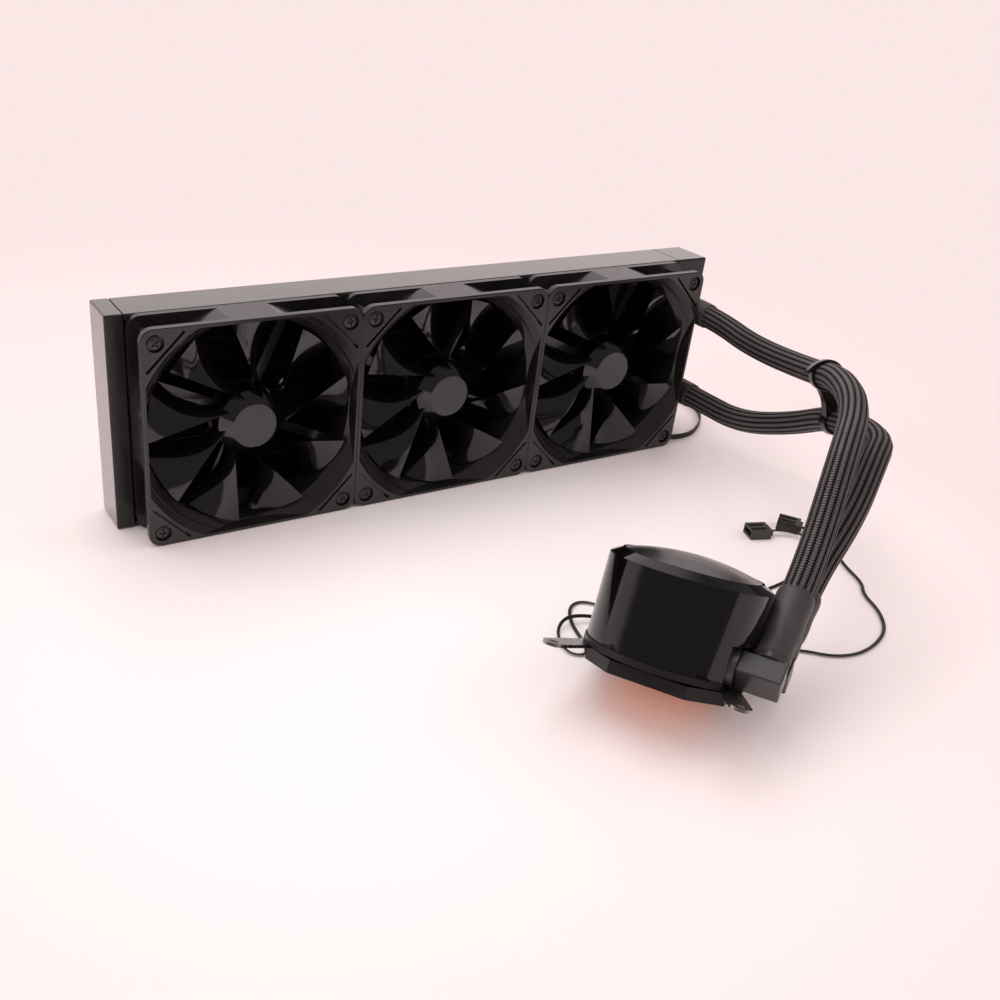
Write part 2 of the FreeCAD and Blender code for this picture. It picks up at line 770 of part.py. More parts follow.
def cold_plate():
    plate = octagon(plate_half, plate_cut, plate_bottom, base_bottom)
    boss_r = base_bore_r - 0.1
    pieces = [plate, cylinder(boss_r, plate_boss_height, V(0, 0, base_bottom))]
    pitch = 2 * (boss_r - 4) / plate_fin_count
    fins = []
    for i in range(plate_fin_count):
        y = -boss_r + 4 + pitch * (i + 0.5)
        reach = math.sqrt(boss_r ** 2 - y ** 2) - 1.5
        fins.append(box(-reach, y - plate_fin_t / 2, plate_boss_top - plate_fin_height,
                        reach, y + plate_fin_t / 2, plate_boss_top))
    channel_tool = ring(boss_r - 1.2, impeller_foot_r + 0.6, plate_fin_height,
                        V(0, 0, plate_boss_top - plate_fin_height)).cut(Part.makeCompound(fins))
    body = fuse(pieces).cut(channel_tool)
    tools = [cylinder(impeller_shaft_r, impeller_shaft_seat, V(0, 0, plate_boss_top - impeller_shaft_seat))]
    for place in plate_screw_places():
        tools.append(cylinder(plate_screw_r + screw_clearance, plate_t, place + Z * plate_bottom))
        tools.append(cylinder(plate_screw_head_r + screw_clearance, plate_screw_head_t,
                              place + Z * plate_bottom))
    return cut_all(body, tools)


def screw(head_r, head_t, shaft_r, length, base):
    """Screw driven upwards: its head starts at base."""
    return fuse([cylinder(head_r, head_t, base), cylinder(shaft_r, length, base)])


def pump_housing():
    """Plate and can that keep the coolant in, with the block that the elbows plug into."""
    can_in = can_r - can_wall
    plate = cylinder(housing_r, housing_t, V(0, 0, 0))
    can = cylinder(can_r, can_height, V(0, 0, 0))
    block = box(shell_flat_x - port_block_depth, -port_block_half, 0,
                shell_flat_x, port_block_half, shell_flat_height - 0.1)
    bridge = box(housing_r - bridge_lap, -port_block_half, 0, shell_flat_x, port_block_half, housing_t)
    posts = []
    for i in range(board_post_count):
        a = math.radians(60 + 360 / board_post_count * i)
        at = V(board_post_circle_r * math.cos(a), board_post_circle_r * math.sin(a), 0)
        posts.append(cylinder(board_post_r, board_post_height, at))
    body = fuse([plate, can, block, bridge] + posts)
    tools = [cylinder(can_in, can_height - can_wall - 1.2, V(0, 0, 0)),
             cylinder(impeller_shaft_r, can_height - can_wall, V(0, 0, 0))]
    for side in (-1, 1):
        y = side * elbow_offset
        tools.append(cylinder(elbow_bore_r, port_block_depth - 1.5,
                              V(shell_flat_x - port_block_depth + 1.5, y, elbow_axis_height), X))
        tools.append(cylinder(1.8, elbow_axis_height, V(shell_flat_x - 3.2, y, 0)))
    return cut_all(body, tools)


def impeller():
    can_in = can_r - can_wall
    low = plate_boss_top + impeller_lift
    disc_low = low + 0.5
    disc_high = disc_low + impeller_disc_t
    vane_top = -impeller_top_gap
    hub_r_pump = can_in - rotor_gap
    top = can_height - can_wall - 1.2 - impeller_top_gap
    pieces = [cylinder(impeller_foot_r, disc_low - low, V(0, 0, low)),
              cylinder(impeller_r, impeller_disc_t, V(0, 0, disc_low)),
              cylinder(hub_r_pump, top - disc_high, V(0, 0, disc_high))]
    for i in range(impeller_vane_count):
        a = math.radians(360 / impeller_vane_count * i)
        inner = V(hub_r_pump - 1, 0, disc_high)
        middle = V(10.5, -1.6, disc_high)
        outer = V(impeller_r - 0.3, -5.0, disc_high)
        thick = V(0, impeller_vane_t, 0)
        wire = Part.Wire([Part.Arc(inner, middle, outer).toShape(),
                          Part.LineSegment(outer, outer + thick).toShape(),
                          Part.Arc(outer + thick, middle + thick, inner + thick).toShape(),
                          Part.LineSegment(inner + thick, inner).toShape()])
        vane = Part.Face(wire).extrude(V(0, 0, vane_top - disc_high))
        pieces.append(around_z(vane, math.degrees(a)))
    body = fuse(pieces)
    return body.cut(cylinder(impeller_shaft_r + shaft_clearance, can_height - low, V(0, 0, low)))


def pump_stator():
    inner = can_r + 0.1
    pieces = [ring(inner + 2.2, inner, pump_stator_t, V(0, 0, housing_t))]
    for i in range(pump_stator_teeth):
        arm = box(inner + 1, -tooth_width / 2, housing_t + 1, pump_stator_r, tooth_width / 2,
                  housing_t + pump_stator_t - 1)
        pieces.append(around_z(arm, 45 + 360 / pump_stator_teeth * i))
    return fuse(pieces)


def pump_board():
    board = cylinder(board_r, board_t, V(0, 0, board_post_height))
    chip = box(-5, 6, board_post_height + board_t, 3, 12, board_post_height + board_t + 1.2)
    socket = box(-8, -18, board_post_height + board_t, 6, -12, board_post_height + board_t + 4.0)
    return fuse([board, chip, socket])


def elbow(side):
    """Swivel elbow: a boss against the pump's flat, a block, and a barb for the hose."""
    y = side * elbow_offset
    centre = V(shell_flat_x + elbow_boss_t, y, elbow_axis_height)
    boss = cylinder(elbow_boss_r, elbow_boss_t, V(shell_flat_x, y, elbow_axis_height), X)
    block = box(0, -elbow_half_depth, -elbow_half_height, elbow_length, elbow_half_depth,
                elbow_half_height)
    block = block.makeChamfer(elbow_edge, block.Edges)
    block.rotate(V(0, 0, 0), X, -elbow_swivel)
    block.translate(centre)
    base, direction = elbow_barb_base(side)
    barb = barb_fitting(base, direction, elbow_collar_t, 1.0)
    body = fuse([boss, block, barb])
    tools = [cylinder(elbow_bore_r, elbow_barb_x - shell_flat_x, V(shell_flat_x, y, elbow_axis_height), X),
             barb_bore(base, direction, elbow_collar_t, elbow_half_height)]
    return cut_all(body, tools)


def elbow_barb_base(side):
    swivel = math.radians(elbow_swivel)
    direction = V(0, math.sin(swivel), math.cos(swivel))
    centre = V(elbow_barb_x, side * elbow_offset, elbow_axis_height)
    return centre + direction * elbow_half_height, direction


def bracket(side):
    """Steel bracket of one side: a strip in the base's groove and two arms."""
    z = bracket_z
    strip = box(bracket_inner_x, -bracket_half_y, z, bracket_outer_x, bracket_half_y, z + bracket_t)
    pieces = [strip]
    for sy in (-1, 1):
        root = V(arm_root_x, sy * arm_root_y, z)
        tip = V(arm_hole_half, sy * arm_hole_half, z)
        along = tip - root
        across = V(-along.y, along.x, 0)
        across.normalize()
        across = across * arm_end_r
        pieces.append(prism([root - across, tip - across, tip + across, root + across], V(0, 0, bracket_t)))
        pieces.append(cylinder(arm_end_r, bracket_t, tip))
    body = fuse(pieces)
    tools = [cylinder(arm_hole_r, bracket_t, V(arm_hole_half, sy * arm_hole_half, z)) for sy in (-1, 1)]
    tools += [cylinder(bracket_screw_r + screw_clearance, bracket_t,
                       V(bracket_screw_x, sy * bracket_screw_y, z)) for sy in (-1, 1)]
    body = cut_all(body, tools)
    if side < 0:
        body = around_z(body, 180)
    return body


def hose_relief():
    """Shallow trough in the shell's side that the front hose lies in."""
    base, direction = elbow_barb_base(-1)
    r = hose_r + sleeve_clearance + sleeve_wall + sleeve_second_wall + relief_clearance
    return cylinder(r, relief_length, base - direction * 2, direction)


def pump_parts():
    pieces = {
        "pump_shell": pump_shell(),
        "pump_cap": pump_cap(),
        "pump_base": pump_base(),
        "cold_plate": cold_plate(),
        "plate_gasket": ring(gasket_out_r, gasket_in_r, gasket_t, V(0, 0, base_bottom)),
        "pump_housing": pump_housing(),
        "impeller": impeller(),
        "pump_stator": pump_stator(),
        "pump_board": pump_board(),
        "elbow_front": elbow(-1),
        "elbow_rear": elbow(1),
        "bracket_left": bracket(-1),
        "bracket_right": bracket(1),
        "lead_grommets": Part.makeCompound([grommet(-1), grommet(1)]),
    }
    shaft_low = plate_boss_top - impeller_shaft_seat
    shaft_high = can_height - can_wall
    pieces["impeller_shaft"] = cylinder(impeller_shaft_r, shaft_high - shaft_low, V(0, 0, shaft_low))
    pieces["plate_screws"] = Part.makeCompound([
        screw(plate_screw_head_r, plate_screw_head_t, plate_screw_r, plate_screw_length,
              place + Z * plate_bottom) for place in plate_screw_places()])
    pieces["bracket_screws"] = Part.makeCompound([
        screw(bracket_screw_head_r, bracket_screw_head_t, bracket_screw_r, -base_flange_t - block_bottom,
              place + Z * block_bottom) for place in bracket_screw_places()])
    return pieces


def pump_placement(pieces):
    """The pump lies with its lowest point on the floor."""
    turned = FreeCAD.Placement(V(0, 0, 0), pump_rotation())
    low = min(lowest_point(shape, turned) for shape in pieces.values())
    return FreeCAD.Placement(V(pump_x, pump_y, -low), pump_rotation())


def lowest_point(shape, placement):
    placed = shape.copy()
    placed.Placement = placement.multiply(placed.Placement)
    return placed.optimalBoundingBox(False, False).ZMin


def place_pump():
    pieces = pump_parts()
    placement = pump_placement(pieces)
    for name, shape in pieces.items():
        placed = shape.copy()
        placed.Placement = placement.multiply(placed.Placement)
        keep(name, placed)
    print("pump origin", [round(v, 4) for v in placement.Base])
    return placement


def hose_route(points, placement, side, last_run):
    base, direction = elbow_barb_base(side)
    end = placement.multVec(base + direction * elbow_collar_t)
    out = placement.Rotation.multVec(direction)
    before = end + out * last_run
    return points + [tuple(before), tuple(end)]


def path_between(path, low, high):
    """The stretch of a path from one distance along it to another."""
    stretch = []
    at = 0.0
    for edge in path.OrderedEdges:
        enter = max(low - at, 0.0)
        leave = min(high - at, edge.Length)
        if leave - enter > 0.001:
            ends = [edge.getParameterByLength(distance) for distance in (enter, leave)]
            stretch.append(edge.Curve.toShape(*ends))
        at += edge.Length
    return Part.Wire(stretch)


def sweep_stretch(path, low, high, r):
    stretch = path_between(path, low, high)
    first = stretch.OrderedEdges[0]
    start = first.valueAt(first.FirstParameter)
    return sweep_circle(stretch, start, first.tangentAt(first.FirstParameter), r)


def sleeve(path, length, step):
    """Shrunk sleeve over the start of a path, thicker beyond the step."""
    inner = hose_r + sleeve_clearance
    outer = inner + sleeve_wall
    body = sweep_stretch(path, 0, length, outer)
    if step:
        body = body.fuse(sweep_stretch(path, step, length, outer + sleeve_second_wall))
    return body.cut(sweep_stretch(path, 0, length, inner))


def hoses(placement):
    middle_points = []
    for name, points, side, last_run, elbow_name in (
            ("upper", upper_hose_points, -1, upper_hose_last_run, "front"),
            ("lower", lower_hose_points, 1, lower_hose_last_run, "rear")):
        route = hose_route(points, placement, side, last_run)
        print("hose", name, "route ends", [[round(v, 2) for v in point] for point in route[-2:]])
        keep("hose_" + name, tube(route, hose_r, "hose_" + name, hose_bore_r))
        keep("sleeve_radiator_" + name, sleeve(smooth_path(route, ""), sleeve_radiator_length, 0))
        keep("sleeve_pump_" + elbow_name,
             sleeve(smooth_path(route[::-1], ""), sleeve_pump_length, sleeve_pump_step))
        middle_points.append(smooth_path(route, ""))
    keep("hose_comb", hose_comb(*middle_points))


def hose_comb(upper, lower):
    """Clip that holds the hoses side by side: two rings and the web between them."""
    bore_r = hose_r + comb_clearance
    half = comb_t / 2
    rings = []
    bores = []
    middles = []
    for path, station in ((upper, comb_upper_station), (lower, comb_lower_station)):
        rings.append(sweep_stretch(path, station - half, station + half, bore_r + comb_wall))
        bores.append(sweep_stretch(path, station - 4 * half, station + 4 * half, bore_r))
        middles.append(rings[-1].CenterOfGravity)
    print("comb rings", [[round(v, 1) for v in middle] for middle in middles])
    span = middles[1] - middles[0]
    low = path_between(lower, comb_lower_station - half, comb_lower_station + half)
    along = low.OrderedEdges[0].tangentAt(low.OrderedEdges[0].FirstParameter)
    across = span.cross(along)
    across.normalize()
    along = across.cross(span)
    along.normalize()
    corner = middles[0] - across * comb_web_t / 2 - along * half
    web = prism([corner, corner + span, corner + span + across * comb_web_t,
                 corner + across * comb_web_t], along * comb_t)
    return cut_all(fuse(rings + [web]), bores)


def leads(placement):
    for name, side, points in (("power", 1, power_lead_points), ("light", -1, light_lead_points)):
        axis = grommet_axis(side)
        start = placement.multVec(axis * (shell_r - shell_wall) + Z * grommet_height)
        out = placement.multVec(axis * (shell_r + 9.0) + Z * grommet_height)
        route = [tuple(start), tuple(out)] + points
        print("lead", name, "route starts", [[round(v, 2) for v in point] for point in route[:2]])
        keep("lead_" + name, tube(route, lead_r, "lead_" + name))
        keep("plug_" + name, plug(V(*points[-1]), V(*points[-1]) - V(*points[-2])))
    centre = V(*coil_centre)
    outer_r = coil_turn_r + coil_band
    inward = centre - V(*fan_lead_points[-1])
    inward.z = 0
    inward.normalize()
    coil_end = centre - inward * outer_r + Z * fan_lead_points[-1][2]
    route = [fan_lead_start] + fan_lead_points + [tuple(coil_end)]
    print("lead fan ends", [round(v, 2) for v in coil_end])
    keep("lead_fan", tube(route, fan_lead_r, "lead_fan"))
    coil = ring(outer_r, coil_turn_r - coil_band, 2 * fan_lead_points[-1][2], centre)
    keep("lead_fan_coil", coil)
    keep("plug_fan", plug(centre - X * outer_r + Z * plug_height / 2, -X))


def plug(rear, forward):
    """Header plug: its lead enters the middle of the rear face and it points forward."""
    half = plug_width / 2
    body = box(plug_neck, -half, -plug_height / 2, plug_length, half, plug_height / 2)
    neck = box(0, -half + 1.2, -plug_height / 2 + 1.2, plug_neck, half - 1.2, plug_height / 2 - 1.2)
    socket = box(plug_length - 7, -half + 1.0, -1.6, plug_length, half - 1.0, 1.6)
    key = box(4, half - 3.4, plug_height / 2, plug_length, half - 2.2, plug_height / 2 + 0.8)
    key2 = box(4, -half + 2.2, plug_height / 2, plug_length, -half + 3.4, plug_height / 2 + 0.8)
    shape = fuse([body, neck, key, key2]).cut(socket)
    shape = around_z(shape, math.degrees(math.atan2(forward.y, forward.x)))
    return moved(shape, rear)


def main():
    os.makedirs("parts", exist_ok=True)
    fan_parts()
    fan_screws()
    keep("rail_bottom", rail(False))
    keep("rail_top", rail(True))
    core()
    tanks()
    placement = place_pump()
    hoses(placement)
    leads(placement)
    for name, shape in parts.items():
        shape.exportStep(os.path.join("parts", name + ".step"))
        if not shape.isValid():
            print("not valid", name)
    print(len(parts), "parts")


main()
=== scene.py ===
import json
import math
import bpy
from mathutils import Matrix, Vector


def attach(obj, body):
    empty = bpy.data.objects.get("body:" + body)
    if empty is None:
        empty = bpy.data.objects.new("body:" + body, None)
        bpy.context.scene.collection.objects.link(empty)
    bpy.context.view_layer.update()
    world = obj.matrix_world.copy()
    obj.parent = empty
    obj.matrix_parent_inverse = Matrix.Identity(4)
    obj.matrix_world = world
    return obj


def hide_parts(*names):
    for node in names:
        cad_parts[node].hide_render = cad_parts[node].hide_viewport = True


# All-in-one liquid cooler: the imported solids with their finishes, plus the soft and fine pieces
# that the solids only stand in for. The scene is in metres and in the solids' own frame. Sizes
# and places below are in millimetres and are multiplied by MM where a mesh is made.

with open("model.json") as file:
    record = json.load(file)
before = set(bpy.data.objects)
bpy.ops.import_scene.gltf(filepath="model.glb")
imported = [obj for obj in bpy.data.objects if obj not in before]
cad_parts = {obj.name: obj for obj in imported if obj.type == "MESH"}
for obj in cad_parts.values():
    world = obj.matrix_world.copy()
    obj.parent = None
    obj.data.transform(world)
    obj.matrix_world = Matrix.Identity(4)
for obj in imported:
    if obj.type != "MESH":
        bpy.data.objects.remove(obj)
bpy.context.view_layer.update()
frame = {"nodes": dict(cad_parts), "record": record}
MM = 0.001
UP = Vector((0, 0, 1))

# Camera of the photograph, metres and radians
camera_place = (-0.31798, -0.52144, 0.29939)
camera_turn = (1.06492, -0.07153, -0.50976)
camera_lens = 38.85
camera_shift = (0.091, 0.016)

# Background, linear
pale = (0.955, 0.80, 0.795)

# Hoses and their shrunk sleeves. The points of a route pull on a smooth line, which starts and
# ends in the first and last of them.
upper_hose = [
    (195, -16.6, 88), (195, -42.6, 88), (199, -74.6, 80), (194, -127.6, 84), (165, -166.6, 99),
    (132, -204.6, 102), (88, -235.6, 93), (59, -255.6, 66), (34.93, -269.35, 47.45),
    (9.52, -284.87, 37.78),
]
lower_hose = [
    (195, -16.6, 32), (195, -43.6, 32), (197, -78.6, 31), (204, -111.6, 43), (199.5, -145.6, 63),
    (170, -197.6, 76), (133, -220.6, 78), (102, -238.6, 63), (65.28, -251.37, 41.04),
    (29.57, -273.18, 27.45),
]
route_step = 1.2
hose_radius = 7.2
ridge_count = 14
ridge_depth = 0.5
ridge_sharpness = 0.8
stitch_length = 1.4
sleeve_radiator_length = 18.0
sleeve_radiator_wall = 0.8
sleeve_radiator_ridge = 0.08
sleeve_radiator_plain = 12.0
sleeve_pump_length = 38.0
sleeve_pump_wall = 0.75
sleeve_pump_step_at = 13.0
sleeve_pump_step = 0.5
sleeve_pump_wave = 0.1
sleeve_lip = 0.4

# Comb that holds the hoses together
comb_stations = (132, 138)
comb_width = 5.5
comb_wall = 1.7
comb_gap = 0.15
comb_bevel = 0.3
comb_flap_start = 165
comb_flap_sweep = 75
comb_flap_lift = 3.0
comb_web_half = 6.8
comb_web_dip = 1.8

# Leads. On the floor the centre of a wire is one radius up.
lead_radius = 0.9
power_lead = [
    (9.8, -222.62, 16.67), (16.59, -213.91, 11.98), (19, -199, 3.2), (12, -182, 0.9),
    (3.5, -171, 0.9), (-6, -173.5, 0.9), (-14, -186, 0.9), (-17.5, -200, 0.9), (-22, -211, 0.9),
    (-31, -206, 0.9), (-26.5, -190.5, 1.4), (-18, -184.5, 4.2), (-8, -186, 4.2), (4, -190, 1.4),
    (26, -190, 0.9), (58, -195, 0.9), (88, -203, 0.9), (119, -202, 0.9), (146, -192, 0.9),
    (164, -180, 0.9), (168, -170, 2.4), (160, -161, 3.0), (151.2, -158, 3.0),
]
light_lead = [
    (21.5, -242.16, 17.27), (32.51, -240.49, 12.79), (49, -241, 3.2), (64, -245, 0.9),
    (78, -250, 0.9), (89, -261, 0.9), (103, -265, 0.9), (119, -262.5, 0.9), (134, -255.5, 0.9),
    (145, -242.5, 0.9), (150.5, -227, 0.9), (159.5, -219, 0.9), (165, -201, 0.9),
    (176, -182, 1.6), (177.1, -169.3, 3.0), (172.5, -162.8, 3.0),
]

# Lead of the right fan: a ribbon of wires that stands on edge, with a coil behind the radiator
fan_lead_start = [
    (159.55, -28, 12.87), (165.3, -28, 6.0), (174, -29, 2.4), (184, -32, 2.2), (194, -34, 2.2),
    (204, -32.5, 2.2), (214, -27, 2.2), (226, -18, 2.2), (236, -6, 2.2), (240, 5, 2.2),
    (239, 17, 2.2), (232, 27, 2.4), (220, 33, 2.4), (204, 36, 2.4), (190, 33, 2.4),
]
fan_lead_end = [
    (169, 33.5, 2.4), (161.5, 38, 2.4), (157, 45, 3.2), (152.5, 51.5, 5.4), (147.5, 52, 5.4),
    (143, 52, 3.0),
]
ribbon_width = 3.8
ribbon_thick = 1.1
ribbon_wires = 4
ribbon_turn_from = 34.0
ribbon_turn_over = 16.0
coil_centre = (168, 52)
coil_height = 2.4
coil_radius_out = 23.0
coil_radius_in = 20.2
coil_turns = 2
coil_turn_points = 13
coil_start = -75
tie_half = 1.6

# Radiator core
core_half = 179.0
core_low = 1.5
core_high = 118.5
tube_height = 1.8
fin_rows = 13
fin_pitch = 2.4
fin_half_depth = 9.0
fin_half_thick = 0.09
fin_tube_gap = 0.1

# Fans and their screws
fan_pitch = 120.0
fan_centre_height = 60.0
fan_front = -38.6
fan_hole_half = 52.5
skirt_profile = [(62.2, 3.7), (61.05, 5.3), (62.2, 5.8), (63.4, 3.9)]
skirt_start = 19.5
skirt_sweep = 51.0
screw_head_radius = 3.6
screw_head_front = -38.4
screw_head_back = -36.4
screw_head_dome = 0.85
recess_half = 0.42
recess_reach = 2.0
recess_depth = 1.0
recess_centre = -37.2
shank_radius = 1.7
shank_end = -10.2
shank_tip = (0.9, -10.1)


def add_object(name, data):
    thing = bpy.data.objects.new(name, data)
    bpy.context.scene.collection.objects.link(thing)
    return thing


# Camera
camera_data = bpy.data.cameras.new("camera")
camera_data.sensor_width = 36
camera_data.lens = camera_lens
camera_data.shift_x, camera_data.shift_y = camera_shift
camera_data.clip_start = 0.01
camera = add_object("camera", camera_data)
camera.location = camera_place
camera.rotation_euler = camera_turn
bpy.context.scene.camera = camera


# Lines and meshes
def smooth_line(name, route):
    """Points of the smooth line that a route pulls into shape."""
    curve = bpy.data.curves.new(name, "CURVE")
    curve.dimensions = "3D"
    curve.resolution_u = 24
    spline = curve.splines.new("NURBS")
    spline.points.add(len(route) - 1)
    for point, place in zip(spline.points, route):
        point.co = (*(v * MM for v in place), 1)
    spline.order_u = 3
    spline.use_endpoint_u = True
    probe = add_object("probe", curve)
    bpy.context.view_layer.update()
    line = bpy.data.meshes.new_from_object(probe)
    points = [v.co.copy() for v in line.vertices]
    bpy.data.objects.remove(probe)
    bpy.data.meshes.remove(line)
    return points


def route_line(name, route):
    """The smooth line of a route with its points one step apart, and its length in metres."""
    points = smooth_line(name, route)
    lengths = [0.0]
    for a, b in zip(points, points[1:]):
        lengths.append(lengths[-1] + (b - a).length)
    count = max(2, round(lengths[-1] / (route_step * MM)))
    line = []
    j = 0
    for i in range(count + 1):
        at = lengths[-1] * i / count
        while j < len(points) - 2 and lengths[j + 1] < at:
            j += 1
        span = lengths[j + 1] - lengths[j]
        share = (at - lengths[j]) / span if span else 0
        line.append(points[j].lerp(points[j + 1], min(max(share, 0), 1)))
    return line, lengths[-1]


def first_part(line, length, reach):
    """The first points of a line, up to a reach in millimetres."""
    step = length / (len(line) - 1)
    return line[:round(reach * MM / step) + 1]


def direction_at(line, i):
    return (line[min(i + 1, len(line) - 1)] - line[max(i - 1, 0)]).normalized()


def distances(line):
    """Distance along the line to each of its points."""
    out = [0.0]
    for a, b in zip(line, line[1:]):
        out.append(out[-1] + (b - a).length)
    return out


def mesh_object(name, verts, faces, uvs=None, smooth=False):
    mesh = bpy.data.meshes.new(name)
    mesh.from_pydata([tuple(v) for v in verts], [], faces)
    if uvs is not None:
        layer = mesh.uv_layers.new(name="along")
        for loop in mesh.loops:
            layer.data[loop.index].uv = uvs[loop.vertex_index]
    if smooth:
        mesh.polygons.foreach_set("use_smooth", [True] * len(mesh.polygons))
    mesh.update()
    return add_object(name, mesh)


def ring_faces(base, spans, around):
    """Faces between closed rings of points that follow each other in the list from base on."""
    faces = []
    for i in range(spans):
        a = base + i * around
        for j in range(around):
            k = (j + 1) % around
            faces.append((a + j, a + k, a + around + k, a + around + j))
    return faces


def end_faces(base, spans, around):
    """The two faces that close the first and the last ring."""
    last = base + spans * around
    return [tuple(base + j for j in range(around))[::-1], tuple(last + j for j in range(around))]


def tube_mesh(name, line, radius_at, around):
    """Round tube along a line; radius_at gives the radius for a distance along and an angle."""
    verts = []
    uvs = []
    side = direction_at(line, 0).cross(UP)
    for i, (p, distance) in enumerate(zip(line, distances(line))):
        ahead = direction_at(line, i)
        side = (side - ahead * side.dot(ahead)).normalized()
        above = side.cross(ahead)
        for j in range(around + 1):
            angle = 2 * math.pi * j / around
            r = radius_at(distance, angle)
            verts.append(p + side * (r * math.cos(angle)) + above * (r * math.sin(angle)))
            uvs.append((j / around, distance))
    columns = around + 1
    faces = []
    for i in range(len(line) - 1):
        for j in range(around):
            a = i * columns + j
            faces.append((a, a + 1, a + columns + 1, a + columns))
    last = (len(line) - 1) * columns
    faces.append(tuple(range(around))[::-1])
    faces.append(tuple(last + j for j in range(around)))
    return mesh_object(name, verts, faces, uvs, smooth=True)


# Materials
def new_material(name):
    material = bpy.data.materials.new(name)
    material.use_nodes = True
    tree = material.node_tree
    return material, tree, tree.nodes["Principled BSDF"]


def noise(tree, vector, scale, detail, rough=0.5):
    node = tree.nodes.new("ShaderNodeTexNoise")
    node.inputs["Scale"].default_value = scale
    node.inputs["Detail"].default_value = detail
    node.inputs["Roughness"].default_value = rough
    tree.links.new(vector, node.inputs["Vector"])
    return node.outputs["Fac"]


def spread(tree, value, low, high, out_low, out_high):
    node = tree.nodes.new("ShaderNodeMapRange")
    node.inputs["From Min"].default_value = low
    node.inputs["From Max"].default_value = high
    node.inputs["To Min"].default_value = out_low
    node.inputs["To Max"].default_value = out_high
    tree.links.new(value, node.inputs["Value"])
    return node.outputs["Result"]


def maths(tree, kind, *values):
    """One math node fed with numbers or sockets."""
    node = tree.nodes.new("ShaderNodeMath")
    node.operation = kind
    for socket, value in zip(node.inputs, values):
        if isinstance(value, (int, float)):
            socket.default_value = value
        else:
            tree.links.new(value, socket)
    return node.outputs[0]


def blend_colours(tree, value, first, second):
    node = tree.nodes.new("ShaderNodeMix")
    node.data_type = "RGBA"
    node.inputs[6].default_value = (*first, 1)
    node.inputs[7].default_value = (*second, 1)
    tree.links.new(value, node.inputs[0])
    return node.outputs[2]


def mix_shaders(tree, share, first, second):
    node = tree.nodes.new("ShaderNodeMixShader")
    tree.links.new(share, node.inputs[0])
    tree.links.new(first, node.inputs[1])
    tree.links.new(second, node.inputs[2])
    return node.outputs[0]


def bump(tree, height, strength, distance, normal=None):
    node = tree.nodes.new("ShaderNodeBump")
    node.inputs["Strength"].default_value = strength
    node.inputs["Distance"].default_value = distance
    tree.links.new(height, node.inputs["Height"])
    if normal is not None:
        tree.links.new(normal, node.inputs["Normal"])
    return node.outputs["Normal"]


def moulded(name, colour, worn, rough, grain, grain_scale, specular=0.5, grazing=0.0):
    """Moulded or painted surface: slow colour drift, uneven gloss and a fine grain.

    Grain is its depth in millimetres. Grazing adds a coat that shines at flat angles only.
    """
    material, tree, shader = new_material(name)
    place = tree.nodes.new("ShaderNodeTexCoord").outputs["Object"]
    drift = spread(tree, noise(tree, place, 35, 4), 0.35, 0.65, 0, 1)
    tree.links.new(blend_colours(tree, drift, colour, worn), shader.inputs["Base Color"])
    gloss = spread(tree, noise(tree, place, 120, 5, 0.6), 0.3, 0.7, rough * 0.89, rough * 1.125)
    tree.links.new(gloss, shader.inputs["Roughness"])
    fine = noise(tree, place, grain_scale, 2)
    tree.links.new(bump(tree, fine, 0.35, grain * MM), shader.inputs["Normal"])
    shader.inputs["Specular IOR Level"].default_value = specular
    if grazing:
        facing = tree.nodes.new("ShaderNodeLayerWeight").outputs["Facing"]
        tree.links.new(spread(tree, facing, 0.30, 0.65, 0, grazing), shader.inputs["Coat Weight"])
        shader.inputs["Coat Roughness"].default_value = rough
    return material


def metal(name, colour, worn, rough):
    """Milled or plated metal with fine scratches."""
    material, tree, shader = new_material(name)
    place = tree.nodes.new("ShaderNodeTexCoord").outputs["Object"]
    stretch = tree.nodes.new("ShaderNodeMapping")
    stretch.inputs["Scale"].default_value = (1, 9, 1)
    tree.links.new(place, stretch.inputs[0])
    lines = noise(tree, stretch.outputs[0], 420, 4, 0.7)
    drift = spread(tree, noise(tree, place, 60, 4), 0.35, 0.65, 0, 1)
    tree.links.new(blend_colours(tree, drift, colour, worn), shader.inputs["Base Color"])
    tree.links.new(spread(tree, lines, 0.3, 0.7, rough * 0.75, rough * 1.35), shader.inputs["Roughness"])
    tree.links.new(bump(tree, lines, 0.3, 0.05 * MM), shader.inputs["Normal"])
    shader.inputs["Metallic"].default_value = 1.0
    return material


